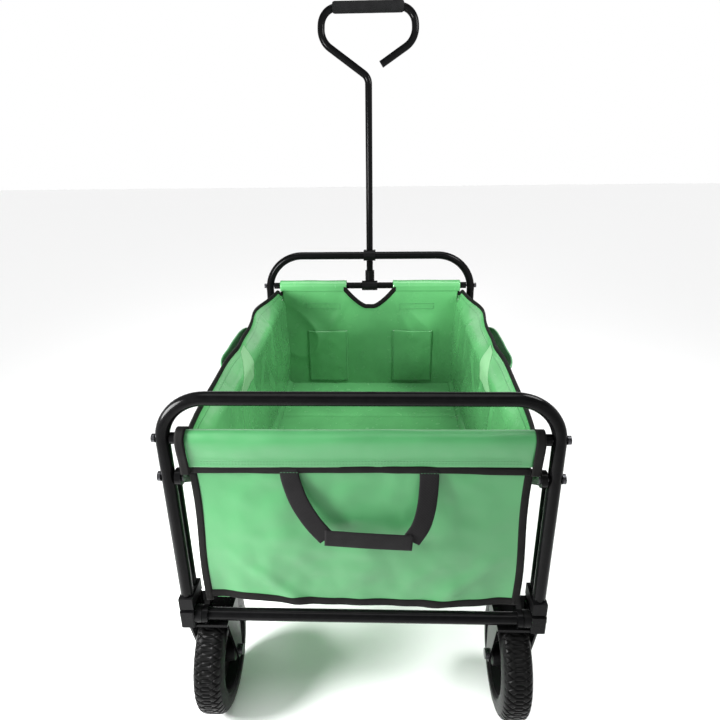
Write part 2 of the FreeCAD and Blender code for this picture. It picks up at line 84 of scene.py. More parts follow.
CLOTH = 0.0012
FLAP_Z = RAIL_Z - 0.039  # seam under the rear flap
PULL_Z = FLOOR_Z + 0.032  # height where the rear panel's two slanted creases are placed
PULL_TOP_Z = FLOOR_Z + 0.122
ROLL_R = RAIL_R + 0.0045  # the sleeves' radius round a rail
ROLL_INSIDE = 0.045  # how far the rear sleeve reaches down inside the bag
FRONT_ROLL_INSIDE = 0.012
PANEL_TOP_Z = RAIL_Z - 0.004
NOTCH_HALF = 0.064
NOTCH_FLAT = 0.010
NOTCH_Z = RAIL_Z - 0.051
TAB_Z = (RAIL_Z - 0.060, RAIL_Z - 0.046)  # sewn boxes on the front panel
HEM_SAG = 0.006
HEM_FLARE = 0.027
HEM_TUCK = 0.012
HEM_JOIN_Z = RAIL_Z - 0.029  # where a pouch's flap meets the hem
FLARE_START = 0.84  # share of a side's height
PATCH_Z = (RAIL_Z - 0.069, RAIL_Z - 0.019)
POUCH_DEPTH = 0.0215
TUB_START, TUB_END = REAR_Y + 0.0045, FRONT_Y - 0.0045
CORNER_R = 0.016  # round between a side and the floor
BINDING = 0.0058  # half width of the folded tape
STRAP_HALF = 0.013
GROOVE = 0.0022  # depth of the tread
TYRE_DEPTH = 0.029
TREAD_SLANT = 2.4  # blocks that a groove crosses from side to side


# ---------------------------------------------------------------- materials


def new_material(name, color, roughness, **values):
    """A Principled material with constant values on its own sockets."""
    material = bpy.data.materials.new(name)
    material.use_nodes = True
    shader = material.node_tree.nodes["Principled BSDF"]
    shader.inputs["Base Color"].default_value = (*color, 1)
    shader.inputs["Roughness"].default_value = roughness
    for key, value in values.items():
        shader.inputs[key.replace("_", " ")].default_value = value
    return material


def add_node(material, kind, **settings):
    """A new shader node. A setting is one of its inputs, or else one of its attributes."""
    node = material.node_tree.nodes.new(kind)
    for key, value in settings.items():
        if key in node.inputs:
            node.inputs[key].default_value = value
        else:
            setattr(node, key, value)
    return node


def link(material, source, target):
    material.node_tree.links.new(source, target)


def object_coordinates(material):
    return add_node(material, "ShaderNodeTexCoord").outputs["Object"]


def noise_node(material, scale, detail=3.0):
    node = add_node(material, "ShaderNodeTexNoise", Scale=scale, Detail=detail)
    link(material, object_coordinates(material), node.inputs["Vector"])
    return node.outputs["Fac"]


def ramp_between(material, source, target, low, high):
    """Drives a socket between two colours or grey levels by a noise, which keeps near 0.5."""
    ramp = add_node(material, "ShaderNodeValToRGB")
    ramp.color_ramp.elements[0].position = 0.35
    ramp.color_ramp.elements[1].position = 0.65
    ramp.color_ramp.elements[0].color = low
    ramp.color_ramp.elements[1].color = high
    link(material, source, ramp.inputs["Fac"])
    link(material, ramp.outputs["Color"], target)


def grey(level):
    return (level, level, level, 1)


def shade(color, factor):
    return (*[min(1.0, c * factor) for c in color], 1)


def shader_of(material):
    return material.node_tree.nodes["Principled BSDF"]


def add_bump(material, height, strength, distance, normal=None):
    bump = add_node(material, "ShaderNodeBump", Strength=strength, Distance=distance)
    link(material, height, bump.inputs["Height"])
    if normal is not None:
        link(material, normal, bump.inputs["Normal"])
    link(material, bump.outputs["Normal"], shader_of(material).inputs["Normal"])
    return bump.outputs["Normal"]


def vary(material, color, spread, scale, rough_low, rough_high):
    """Uneven colour and roughness over the surface."""
    shader = shader_of(material)
    source = noise_node(material, scale)
    ramp_between(material, source, shader.inputs["Base Color"],
                 shade(color, 1 - spread), shade(color, 1 + spread))
    fine = noise_node(material, scale * 6)
    ramp_between(material, fine, shader.inputs["Roughness"], grey(rough_low), grey(rough_high))


def woven(name, color, spacing, rough_low, rough_high, **values):
    """Cloth with a plain weave of the given thread spacing, in metres, and soft unevenness."""
    material = new_material(name, color, rough_high, **values)
    vary(material, color, 0.05, 7.0, rough_low, rough_high)
    split = add_node(material, "ShaderNodeSeparateXYZ")
    link(material, object_coordinates(material), split.inputs["Vector"])
    across = add_node(material, "ShaderNodeMath", operation="ADD")
    link(material, split.outputs["X"], across.inputs[0])
    link(material, split.outputs["Y"], across.inputs[1])
    waves = []
    for source in (across.outputs["Value"], split.outputs["Z"]):
        turns = add_node(material, "ShaderNodeMath", operation="MULTIPLY")
        turns.inputs[1].default_value = math.pi / spacing
        link(material, source, turns.inputs[0])
        ripple = add_node(material, "ShaderNodeMath", operation="SINE")
        link(material, turns.outputs["Value"], ripple.inputs[0])
        waves.append(ripple.outputs["Value"])
    weave = add_node(material, "ShaderNodeMath", operation="MULTIPLY")
    link(material, waves[0], weave.inputs[0])
    link(material, waves[1], weave.inputs[1])
    normal = add_bump(material, weave.outputs["Value"], 0.35, 0.00025)
    add_bump(material, noise_node(material, 11.0, 2.0), 0.35, 0.008, normal)
    return material


def speckled(name, color, roughness, scale, strength, depth, **values):
    """A solid material with a fine cast, moulded or painted surface."""
    material = new_material(name, color, roughness, **values)
    vary(material, color, 0.15, scale / 8, roughness * 0.85, min(1.0, roughness * 1.15))
    add_bump(material, noise_node(material, scale), strength, depth)
    return material


GREEN = (0.040, 0.205, 0.066)
INNER_GREEN = (0.088, 0.31, 0.112)
PALE_GREEN = (0.18, 0.40, 0.19)
BLACK = (0.003, 0.003, 0.0032)
ZINC = (0.06, 0.06, 0.065)
RUBBER_BLACK = (0.0045, 0.0045, 0.0045)
PLASTIC_BLACK = (0.004, 0.004, 0.0042)
FOAM_BLACK = (0.009, 0.009, 0.0095)
TAPE_BLACK = (0.004, 0.0038, 0.0036)
WEBBING_BLACK = (0.0055, 0.005, 0.0055)
THREAD_GREEN = (0.03, 0.13, 0.05)
DULL = {"Specular_IOR_Level": 0.06}

paint = speckled("powder_coat", BLACK, 0.16, 900.0, 0.05, 0.0002, **DULL)
black_zinc = speckled("black_zinc", ZINC, 0.25, 600.0, 0.1, 0.0002, Metallic=0.9)
rubber = speckled("tyre_rubber", RUBBER_BLACK, 0.34, 500.0, 0.15, 0.0004, **DULL)
plastic = speckled("moulded_plastic", PLASTIC_BLACK, 0.36, 700.0, 0.12, 0.0003, **DULL)
foam = speckled("grip_foam", FOAM_BLACK, 0.9, 420.0, 0.5, 0.0012, Specular_IOR_Level=0.1)
cloth = woven("green_polyester", GREEN, 0.0011, 0.34, 0.46, Sheen_Weight=0.12, Sheen_Roughness=0.4)
cloth_inside = speckled("green_coated_face", INNER_GREEN, 0.24, 56.0, 0.12, 0.0008,
                        Coat_Weight=0.35, Coat_Roughness=0.1)
cloth_pale = woven("pale_pocket_cloth", PALE_GREEN, 0.0011, 0.35, 0.5, Sheen_Weight=0.1)
tape = woven("black_binding", TAPE_BLACK, 0.0016, 0.7, 0.85, Sheen_Weight=0.02,
             Specular_IOR_Level=0.1)
webbing = woven("black_webbing", WEBBING_BLACK, 0.0022, 0.65, 0.8, Sheen_Weight=0.03,
                Specular_IOR_Level=0.12)
thread = speckled("dark_thread", THREAD_GREEN, 0.7, 900.0, 0.3, 0.0002)

FINISHES = {"frame_paint": paint, "zinc_hardware": black_zinc, "green_polyester": cloth,
            "tyre_rubber": rubber, "black_webbing": webbing, "grip_foam": foam, "black_plastic": plastic}


def dress(obj, material):
    obj.data.materials.clear()
    obj.data.materials.append(material)


def dress_cad_nodes():
    slots = {s["node"]: s["material_slot"] for s in frame["record"]["subparts"]}
    for name, obj in frame["nodes"].items():
        obj.data.materials.clear()
        obj.data.materials.append(FINISHES[slots[name]])


# ---------------------------------------------------------------- mesh helpers


def mesh_object(name, points, faces, material, body):
    """A smooth-shaded mesh that rides a body."""
    mesh = bpy.data.meshes.new(name)
    mesh.from_pydata([tuple(p) for p in points], [], faces)
    mesh.validate()
    obj = bpy.data.objects.new(name, mesh)
    bpy.context.scene.collection.objects.link(obj)
    for polygon in mesh.polygons:
        polygon.use_smooth = True
    dress(obj, material)
    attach(obj, body)
    return obj


def sheet_faces(rows, columns, offset=0):
    """Quads over a grid of points."""
    return [
        (offset + i * columns + j, offset + i * columns + j + 1,
         offset + (i + 1) * columns + j + 1, offset + (i + 1) * columns + j)
        for i in range(rows - 1) for j in range(columns - 1)
    ]


def cloth_sheet(name, surface, rows, columns, thickness, material, body):
    """A closed thin shell from surface(u, v), with u and v from 0 to 1, to a face one thickness
    behind it, against the normal du x dv. A negative thickness puts that face in front."""
    grid = [[surface(i / (rows - 1), j / (columns - 1)) for j in range(columns)] for i in range(rows)]

    def normal(i, j):
        du = grid[min(i + 1, rows - 1)][j] - grid[max(i - 1, 0)][j]
        dv = grid[i][min(j + 1, columns - 1)] - grid[i][max(j - 1, 0)]
        return du.cross(dv).normalized()

    front = [grid[i][j] for i in range(rows) for j in range(columns)]
    back = [grid[i][j] - normal(i, j) * thickness for i in range(rows) for j in range(columns)]
    count = rows * columns
    faces = sheet_faces(rows, columns)
    faces += [tuple(reversed(f)) for f in sheet_faces(rows, columns, count)]
    rim = list(range(columns))
    rim += [i * columns + columns - 1 for i in range(1, rows)]
    rim += [(rows - 1) * columns + j for j in range(columns - 2, -1, -1)]
    rim += [i * columns for i in range(rows - 2, 0, -1)]
    faces += [(a, a + count, b + count, b) for a, b in zip(rim, rim[1:] + rim[:1])]
    obj = mesh_object(name, front + back, faces, material, body)
    tidy_normals(obj)
    return obj


def tidy_normals(obj):
    """Turns every face of a closed mesh outwards."""
    edit = bmesh.new()
    edit.from_mesh(obj.data)
    bmesh.ops.recalc_face_normals(edit, faces=edit.faces)
    edit.to_mesh(obj.data)
    edit.free()


def squared(value, reach, power):
    """A sine or cosine pushed outwards by a power below 1, which squares off a circle."""
    return math.copysign(abs(value) ** power, value) * reach


def swept_band(name, path, half_width, half_depth, side, material, body, sides=10):
    """A rounded flat band along a path. side(i) is the direction of its width at each point."""
    points, faces = [], []
    for i, place in enumerate(path):
        ahead = (path[min(i + 1, len(path) - 1)] - path[max(i - 1, 0)]).normalized()
        across = side(i)
        across = (across - ahead * across.dot(ahead)).normalized()
        out = ahead.cross(across)
        for k in range(sides):
            angle = 2 * math.pi * k / sides
            width = squared(math.cos(angle), half_width, 0.6)
            depth = squared(math.sin(angle), half_depth, 0.6)
            points.append(place + across * width + out * depth)
    for i in range(len(path) - 1):
        for k in range(sides):
            n = (k + 1) % sides
            faces.append((i * sides + k, i * sides + n, (i + 1) * sides + n, (i + 1) * sides + k))
    faces.append(tuple(range(sides)))
    faces.append(tuple(reversed(range((len(path) - 1) * sides, len(path) * sides))))
    obj = mesh_object(name, points, faces, material, body)
    tidy_normals(obj)
    return obj


def smooth_path(points, count):
    """A Catmull-Rom curve through the points."""
    knots = [points[0] * 2 - points[1], *points, points[-1] * 2 - points[-2]]
    path = []
    for n in range(count):
        t = n / (count - 1) * (len(points) - 1)
        i = min(int(t), len(points) - 2)
        f = t - i
        a, b, c, d = knots[i:i + 4]
        path.append(0.5 * (2 * b + (c - a) * f + (2 * a - 5 * b + 4 * c - d) * f * f
                           + (3 * b - a - 3 * c + d) * f ** 3))
    return path


STITCH_PITCH = 0.0042
STITCH_LENGTH = 0.0028
STITCH_R = 0.00038
STITCH_SHAPE = ((0.0, 0.35), (0.25, 1.0), (0.75, 1.0), (1.0, 0.35))  # shares of length and radius


def stitch_line(name, path, out, body):
    """A row of short raised stitches along a path, lying on the cloth."""
    points, faces = [], []
    travelled, wanted = 0.0, 0.0
    for a, b in zip(path, path[1:]):
        run = (b - a).length
        ahead = (b - a).normalized()
        while wanted <= travelled + run:
            start = a + ahead * (wanted - travelled) + out * STITCH_R
            across = ahead.cross(out).normalized() * STITCH_R
            up = out * STITCH_R
            base = len(points)
            for along, size in STITCH_SHAPE:
                centre = start + ahead * STITCH_LENGTH * along
                points += [centre + across * size, centre + up * size,
                           centre - across * size, centre - up * size]
            for ring in range(base, len(points) - 4, 4):
                for k in range(4):
                    n = (k + 1) % 4
                    faces.append((ring + k, ring + n, ring + 4 + n, ring + 4 + k))
            faces.append(tuple(reversed(range(base, base + 4))))
            faces.append(tuple(range(len(points) - 4, len(points))))
            wanted += STITCH_PITCH
        travelled += run
    return mesh_object(name, points, faces, thread, body)


def ease(t):
    """A smooth step from 0 to 1, held at its ends."""
    t = max(0.0, min(1.0, t))
    return t * t * (3 - 2 * t)


def hump(distance, width):
    """A smooth bump, 1 where the distance is 0."""
    return math.exp(-(distance / width) ** 2)


def wave(place, scale, seed=0.0):
    """Smooth unevenness between about -1 and 1. The seed picks another pattern."""
    return noise.noise(Vector(place) * scale + Vector((seed, seed * 0.7, seed * 1.3)))


def ridge(place, scale, seed=0.0):
    """Soft-sided creases, from 0 in the flat cloth to 1 on a fold line."""
    return max(0.0, 1 - 4 * abs(wave(place, scale, seed))) ** 1.5


# ---------------------------------------------------------------- rear end of the bag


def pull_crease(offset, z, width):
    """A slanted crease in the lower half of the rear panel. offset is 0 on its line."""
    return 0.003 * hump(offset, width) * ease((PULL_TOP_Z - z) / 0.1)


def rear_face(x, z):
    """The Y of the lower rear panel at a point of its width and height."""
    drop = (FLAP_Z - z) / (FLAP_Z - FLOOR_Z)
    share = abs(x) / BAG_HALF
    belly = 0.005 * math.sin(math.pi * ease(drop)) * (1 - share ** 2)
    corner = hump(share - 0.9, 0.1) * hump(drop - 0.95, 0.22)
    fold = 0.0030 * wave((x, 0, z), 13.0, 2.0) + 0.0016 * wave((x, z * 0.6, z), 34.0, 5.0)
    rise = z - PULL_Z
    pull = pull_crease(x + 0.12 + rise, z, 0.016) + pull_crease(x - 0.14 - rise, z, 0.018)
    return REAR_Y - 0.002 - belly + 0.004 * corner + fold * (1 - share ** 4) - pull


def rear_bottom(x):
    """The lower edge of the rear panel, lowest near the middle and lower on the right."""
    share = x / BAG_HALF
    return FLOOR_Z + 0.009 - 0.008 * (1 - share ** 2) - 0.004 * share


def lower_rear_panel(u, v):
    x = BAG_HALF * (2 * u - 1)
    bottom = rear_bottom(x)
    top = FLAP_Z + 0.012
    z = bottom + (top - bottom) * v
    return Vector((x, rear_face(x, z), z))


def roll_profile(v, outward, inner_z, end_z):
    """Round the rail: up from inner_z, over the top and down the outer side to end_z."""
    arc = math.pi * ROLL_R
    outer_run = RAIL_Z - end_z
    inner_run = RAIL_Z - inner_z
    s = v * (arc + outer_run + inner_run)
    if s < inner_run:
        return -outward * ROLL_R, inner_z + s
    s -= inner_run
    if s < arc:
        angle = s / ROLL_R
        return -outward * ROLL_R * math.cos(angle), RAIL_Z + ROLL_R * math.sin(angle)
    s -= arc
    lean = 0.006 * ease(s / outer_run)
    return outward * (ROLL_R - lean), RAIL_Z - s


def flap_sway(x):
    """The slight rise and fall of the rear flap's edge."""
    return 0.0015 * math.sin(x * 8)


def rear_sleeve(u, v):
    x = (SLEEVE_HALF - 0.006) * (2 * u - 1)
    y, z = roll_profile(v, -1, RAIL_Z - ROLL_INSIDE, FLAP_Z)
    slack = 0.0012 * wave((x, v * 0.3, 0), 16.0, 7.0)
    return Vector((x, REAR_Y + y - slack, z + slack + flap_sway(x) * ease(v)))


def rear_sleeve_binding(sign):
    """Tape round the end of the rear sleeve, its own thickness outside it."""
    start, width = SLEEVE_HALF - 0.009, 0.0125
    scale = 1 + 0.0016 / ROLL_R

    def surface(u, v):
        x = sign * (start + width * u)
        y, z = roll_profile(v, -1, RAIL_Z - ROLL_INSIDE, FLAP_Z - 0.012)
        return Vector((x, REAR_Y + y * scale, RAIL_Z + (z - RAIL_Z) * (scale if z > RAIL_Z else 1)))
    return surface


def line_on_rear(points, lift):
    return [Vector((x, rear_face(x, z) - lift, z)) for x, z in points]


def upright(i):
    """The width of a band that stands up, at any point of its path."""
    return Vector((0, 0, 1))


def sideways(i):
    """The width of a band that lies across the wagon, at any point of its path."""
    return Vector((1, 0, 0))


def rear_side_edge(sign):
    """Points down a side edge of the rear panel, drawn in a little between its ends."""
    steps = 40
    top = FLAP_Z - 0.004
    run = FLAP_Z - rear_bottom(BAG_HALF)
    return [(sign * (BAG_HALF - 0.001 - 0.002 * math.sin(6 * n / steps)), top - run * n / steps)
            for n in range(steps + 1)]


def make_rear_end():
    body, slot = "rear_frame", "green_polyester"
    panel = cloth_sheet("rear_panel_cloth", lower_rear_panel, 120, 70, -CLOTH, cloth, body)
    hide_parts("bag_rear_panel")
    cloth_sheet("rear_sleeve_cloth", rear_sleeve, 90, 60, -CLOTH, cloth, body)
    for sign, side in ((-1, "left"), (1, "right")):
        cloth_sheet(f"rear_sleeve_binding_{side}", rear_sleeve_binding(sign), 5, 60, -0.0016,
                    tape, body)
        edge = line_on_rear(rear_side_edge(sign), 0.0003)
        swept_band(f"rear_side_binding_{side}", edge, BINDING, 0.0022, sideways,
                   tape, body)
    columns = [BAG_HALF * (2 * n / 60 - 1) for n in range(61)]
    bottom = [(x, rear_bottom(x) + 0.001) for x in columns]
    swept_band("rear_bottom_binding", line_on_rear(bottom, 0.0003), BINDING + 0.001, 0.0024, upright,
               tape, body)
    across = [(x, FLAP_Z - 0.005 + 0.0015 * math.sin(x * 14 + 1)) for x in columns]
    swept_band("rear_top_binding", line_on_rear(across, 0.0026), BINDING - 0.0002, 0.002, upright,
               tape, body)
    flap_face = REAR_Y - ROLL_R + 0.0032
    for n, lift in enumerate((0.007, 0.0105)):
        path = [Vector((x, flap_face, FLAP_Z + lift + flap_sway(x))) for x in columns[2:-2]]
        stitch_line(f"rear_flap_stitches_{n + 1}", path, Vector((0, -1, 0)), body)


# ---------------------------------------------------------------- carry strap


def make_carry_strap():
    """Three runs of webbing: two that curve down from the seam and one folded across."""
    body, slot = "rear_frame", "black_webbing"
    count = 40
    last = count - 1
    tilt = 0.45

    def place(x, out, drop):
        return Vector((x, REAR_Y - out, FLAP_Z - drop))

    left = [place(-0.094, 0.006, 0.004), place(-0.091, 0.009, 0.022), place(-0.080, 0.017, 0.050),
            place(-0.062, 0.024, 0.078), place(-0.044, 0.0265, 0.100)]
    right = [place(0.093, 0.006, 0.004), place(0.093, 0.010, 0.024), place(0.090, 0.018, 0.054),
             place(0.083, 0.024, 0.080), place(0.070, 0.0265, 0.103)]
    across = [place(-0.047, 0.0283, 0.098), place(0.010, 0.0295, 0.101), place(0.072, 0.0283, 0.105)]
    left_path, right_path = smooth_path(left, count), smooth_path(right, count)
    runs = [
        ("carry_strap_left", left_path, lambda i: Vector((1, 0, tilt * ease(i / last)))),
        ("carry_strap_right", right_path, lambda i: Vector((1, 0, -tilt * ease(i / last)))),
        ("carry_strap_across", smooth_path(across, count), upright),
    ]
    for name, path, side in runs:
        strap = swept_band(name, path, STRAP_HALF, 0.0012, side, webbing, body, 16)
        if name == "carry_strap_across":
            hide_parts("rear_carry_strap")
    reach = Vector((STRAP_HALF - 0.002, 0, 0))
    for side, path in (("left", left_path), ("right", right_path)):
        for k, drop in enumerate((0.004, 0.014)):
            centre = path[0] + Vector((0, -0.0015, -drop))
            row = [centre - reach, centre + reach]
            stitch_line(f"carry_strap_stitches_{side}_{k + 1}", row, Vector((0, -1, 0)), body)


# ---------------------------------------------------------------- tub: sides and floor


def hem_height(y):
    """The top edge of a side, which sags between the end frames and tucks down at the front."""
    t = (y - REAR_Y) / LENGTH
    sag = HEM_SAG * 4 * t * (1 - t)
    tuck = HEM_TUCK * ease((t - 0.955) / 0.03)
    ripple = 0.0022 * math.sin(t * 17 + 0.8) * math.sin(math.pi * t)
    return PANEL_TOP_Z - sag - tuck + ripple


def hem_flare(y):
    """How far the top edge leans out over the scissor bars."""
    t = (y - REAR_Y) / LENGTH
    lean = HEM_FLARE * max(0.0, math.sin(math.pi * t)) ** 0.45
    bulge = 0.013 * hump(t - 0.76, 0.09)
    dip = 0.005 * hump(t - 0.46, 0.06)
    return lean + bulge - dip


def side_x(y, z):
    """Half width of the tub at a point of its side."""
    rise = (z - FLOOR_Z) / (hem_height(y) - FLOOR_Z)
    inside = BAG_HALF - 0.001
    crease = 0.006 * (0.5 + 0.5 * wave((0, y, z), 6.0, 3.0))
    crease += 0.003 * ridge((0, y, z * 0.6), 9.0, 9.0)
    strained = math.sin(math.pi * max(0.0, min(1.0, rise)))
    flare = hem_flare(y) * ease((rise - FLARE_START) / (1 - FLARE_START))
    return inside - crease * strained + flare


def side_sheet(sign):
    base = FLOOR_Z + 0.0002

    def surface(u, v):
        y = TUB_START + (TUB_END - TUB_START) * u
        z = base + (hem_height(y) - base) * v
        x = side_x(y, z)
        low = max(0.0, 1 - (z - FLOOR_Z) / CORNER_R)
        return Vector((sign * (x - CORNER_R * (1 - math.sqrt(1 - low * low))), y, z))
    return surface


def floor_sheet(u, v):
    y = TUB_START + (TUB_END - TUB_START) * u
    x = (BAG_HALF - CORNER_R + 0.006) * (2 * v - 1)
    cross_seams = sum(hump(u - place, 0.006) for place in (0.25, 0.5, 0.75))
    long_seams = hump(abs(x) - 0.08, 0.003)
    z = FLOOR_Z + 0.0018 - 0.002 * min(1.0, cross_seams) - 0.0006 * long_seams
    return Vector((x, y, z + 0.0010 * wave((x, y, 0), 12.0, 4.0)))


def fold_with_frame(piece):
    """Gives the piece its own copy of its mesh data."""
    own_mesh(piece)


def make_tub():
    body, slot = "rear_frame", "green_polyester"
    steps = 160
    places = [TUB_START + (TUB_END - TUB_START) * n / steps for n in range(steps + 1)]
    seam_drop = 0.014
    for sign, side in ((-1, "left"), (1, "right")):
        wall = cloth_sheet(f"tub_side_{side}", side_sheet(sign), 220, 60, sign * CLOTH,
                           cloth_inside, body)
        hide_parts(f"bag_side_{side}")
        fold_with_frame(wall)
        top = [Vector((sign * (side_x(y, hem_height(y)) - 0.0005), y, hem_height(y) - 0.003))
               for y in places]
        hem = swept_band(f"tub_hem_{side}", top, BINDING - 0.0003, 0.0024, upright,
                         tape, body)
        fold_with_frame(hem)
        seam = []
        for y in places:
            z = hem_height(y) - seam_drop
            seam.append(Vector((sign * (side_x(y, z) - 0.0014), y, z)))
        stitches = stitch_line(f"tub_hem_stitches_{side}", seam, Vector((-sign, 0, 0)), body)
        fold_with_frame(stitches)
    base = cloth_sheet("tub_floor", floor_sheet, 160, 60, -CLOTH, cloth_inside, body)
    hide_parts("bag_floor")
    fold_with_frame(base)


# ---------------------------------------------------------------- front end of the bag


def notch_height(x):
    """Top edge of the front panel: a rounded V in the middle clears the handle's hinge."""
    reach = max(0.0, (abs(x) - NOTCH_FLAT) / (NOTCH_HALF - NOTCH_FLAT))
    return min(PANEL_TOP_Z, NOTCH_Z + (PANEL_TOP_Z - NOTCH_Z) * reach ** 1.4)


def front_face(x, z):
    """The Y of the front panel's inner face at a point of its width and height."""
    drop = (RAIL_Z - z) / (RAIL_Z - FLOOR_Z)
    share = min(1.0, abs(x) / BAG_HALF)
    crease = 0.009 * wave((x, 1, z), 8.0, 11.0) - 0.005 * ridge((x, 1, z * 0.8), 7.0, 13.0)
    from_notch = abs(x) - 0.045 - 0.5 * (RAIL_Z - z)
    tuck = 0.005 * hump(from_notch, 0.012) * ease(1.5 - 2.2 * drop)
    loose = math.sin(math.pi * ease(drop)) ** 0.7
    back = 0.0075
    meets_sleeve = (ROLL_R + 0.0006 - back) * ease((z - RAIL_Z + 0.075) / 0.055)
    return FRONT_Y - back - meets_sleeve + (crease - tuck) * loose * (1 - share ** 6)


def front_panel(u, v):
    x = BAG_HALF * (2 * u - 1)
    low = FLOOR_Z - 0.0022
    z = low + (notch_height(x) - low) * v
    return Vector((x, front_face(x, z), z))


def front_sleeve(sign):
    start, end = NOTCH_HALF - 0.004, SLEEVE_HALF - 0.004

    def surface(u, v):
        x = sign * (start + (end - start) * u)
        y, z = roll_profile(v, 1, RAIL_Z - FRONT_ROLL_INSIDE, FLAP_Z + 0.004)
        slack = 0.001 * wave((x, v * 0.3, 2), 16.0, 7.0)
        return Vector((x, FRONT_Y + y, z + slack))
    return surface


def inner_pocket(sign):
    outer, top = corners("inner_pockets")[1].x - 0.003, corners("inner_pockets")[1].z
    inner, bottom = 0.06, FLOOR_Z + 0.010

    def surface(u, v):
        x = sign * (inner + (outer - inner) * u)
        z = bottom + (top - bottom) * v
        puff = 0.004 * math.sin(math.pi * u) * (0.35 + 0.65 * v)
        wrinkle = 0.0008 * wave((x, 3, z), 40.0)
        return Vector((x, front_face(x, z) - 0.0022 - puff + wrinkle, z))
    return surface


def pocket_outline(surface):
    """Down one side of a pocket, along its bottom and up the other side."""
    steps, margin = 30, 0.03
    shares = [n / steps for n in range(steps + 1)]
    outline = [surface(margin, 1 - share) for share in shares]
    outline += [surface(margin + (1 - 2 * margin) * share, 0.02) for share in shares]
    return outline + [surface(1 - margin, share) for share in shares]


def sewn_box(sign):
    """The four rows of stitches round a tab on the front panel."""
    start, end = sign * 0.078, sign * (BAG_HALF - 0.060)
    low, high = TAB_Z
    box = [(start, high), (start, low), (end, low), (end, high), (start, high)]
    steps = 30
    for (x0, z0), (x1, z1) in zip(box, box[1:]):
        row = [(x0 + (x1 - x0) * n / steps, z0 + (z1 - z0) * n / steps) for n in range(steps + 1)]
        yield [Vector((x, front_face(x, z) - 0.0006, z)) for x, z in row]


def edge_run(path, i):
    """The direction of a path at one of its points."""
    return path[min(i + 1, len(path) - 1)] - path[max(i - 1, 0)]


def make_front_end():
    body, slot = "front_frame", "green_polyester"
    panel = cloth_sheet("front_panel_cloth", front_panel, 150, 70, CLOTH, cloth_inside, body)
    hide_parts("bag_front_panel")
    edge = [Vector((x, front_face(x, notch_height(x)), notch_height(x) - 0.002))
            for x in [(NOTCH_HALF + 0.003) * (2 * n / 80 - 1) for n in range(81)]]
    swept_band("notch_binding", edge, BINDING, 0.0024,
               lambda i: Vector((0, 1, 0)).cross(edge_run(edge, i)), tape, body)
    for sign, side in ((-1, "left"), (1, "right")):
        cloth_sheet(f"front_sleeve_{side}", front_sleeve(sign), 50, 50, -sign * CLOTH,
                    cloth_inside, body)
        surface = inner_pocket(sign)
        pocket = cloth_sheet(f"inner_pocket_{side}", surface, 40, 50, sign * 0.0014,
                             cloth_inside, body)
        if side == "right":
            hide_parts("inner_pockets")
        stitch_line(f"inner_pocket_stitches_{side}", pocket_outline(surface),
                    Vector((0, -1, 0)), body)
        for k, row in enumerate(sewn_box(sign)):
            stitch_line(f"front_hem_stitches_{side}_{k + 1}", row, Vector((0, -1, 0)), body)


# ---------------------------------------------------------------- pockets on the sides


def side_pocket(sign):
    """An outside pouch that hangs from the hem with its mouth slack."""
    low, high = corners("side_pocket_right")
    centre, half = (low.y + high.y) / 2, (high.y - low.y) / 2
    start = high.x - POUCH_DEPTH

    def surface(u, v):
        turn = 2 * u - 1
        taper = 0.5 + 0.5 * ease(v)
        y = centre + half * taper * math.sin(math.pi / 2 * turn)
        z = low.z + (high.z - low.z) * v - 0.012 * abs(turn) ** 3 * v
        round_off = (1 - abs(turn) ** 4) * (0.15 + 0.85 * math.sin(math.pi / 2 * v) ** 0.7)
        wrinkle = 0.0016 * wave((0, y, z), 22.0, 21.0) * round_off
        return Vector((sign * (start + (POUCH_DEPTH - 0.0025) * round_off + wrinkle), y, z))
    return surface


def pouch_back(sign):
    """The pouch's inner face, with the flap that runs over the bars to the hem."""
    low, high = corners("side_pocket_right")
    centre, half = (low.y + high.y) / 2, (high.y - low.y) / 2
    start = high.x - POUCH_DEPTH - 0.0004
    flap_start = 0.66

    def surface(u, v):
        up = min(1.0, v * 1.5)
        y = centre + half * (0.5 + 0.5 * ease(up)) * (2 * u - 1)
        over = ease((v - flap_start) / (1 - flap_start))
        z = low.z + (HEM_JOIN_Z - low.z) * up + 0.004 * math.sin(math.pi * over)
        hem_x = side_x(y, z) + 0.0018
        return Vector((sign * (start + (hem_x - start) * over), y, z))
    return surface


def wall_patch(sign):
    """A paler tab sewn inside the flared hem, narrower at its top."""
    low, high = PATCH_Z

    def surface(u, v):
        half = 0.060 - 0.042 * v
        y = MID_Y - 0.090 + 0.078 * v + half * (2 * u - 1)
        z = low + (high - low) * v - 0.004 * math.sin(math.pi * u) * (1 - v)
        return Vector((sign * (side_x(y, z) - 0.0014), y, z))
    return surface


def make_side_pockets():
    body, slot = "rear_frame", "green_polyester"
    for sign, side in ((-1, "left"), (1, "right")):
        surface = side_pocket(sign)
        pouch = cloth_sheet(f"side_pouch_{side}", surface, 60, 30, sign * CLOTH, cloth, body)
        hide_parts(f"side_pocket_{side}")
        fold_with_frame(pouch)
        back = cloth_sheet(f"side_pouch_back_{side}", pouch_back(sign), 40, 40, -sign * 0.0008,
                           cloth, body)
        fold_with_frame(back)
        rim = [surface(n / 60, 1.0) for n in range(61)]
        edge = swept_band(f"side_pouch_rim_{side}", rim, 0.003, 0.0016, upright, cloth, body)
        fold_with_frame(edge)
        patch = cloth_sheet(f"wall_patch_{side}", wall_patch(sign), 30, 30, sign * 0.001,
                            cloth_pale, body)
        fold_with_frame(patch)


# ---------------------------------------------------------------- wheels


def tread(turn, across, blocks):
    """Height of a diamond-block tread, from 0 in a groove to 1 on a block."""
    a = (turn * blocks + across * TREAD_SLANT) % 1.0
    b = (turn * blocks - across * TREAD_SLANT) % 1.0
    edge = min(a, 1 - a, b, 1 - b)
    return ease((edge - 0.06) / 0.09)


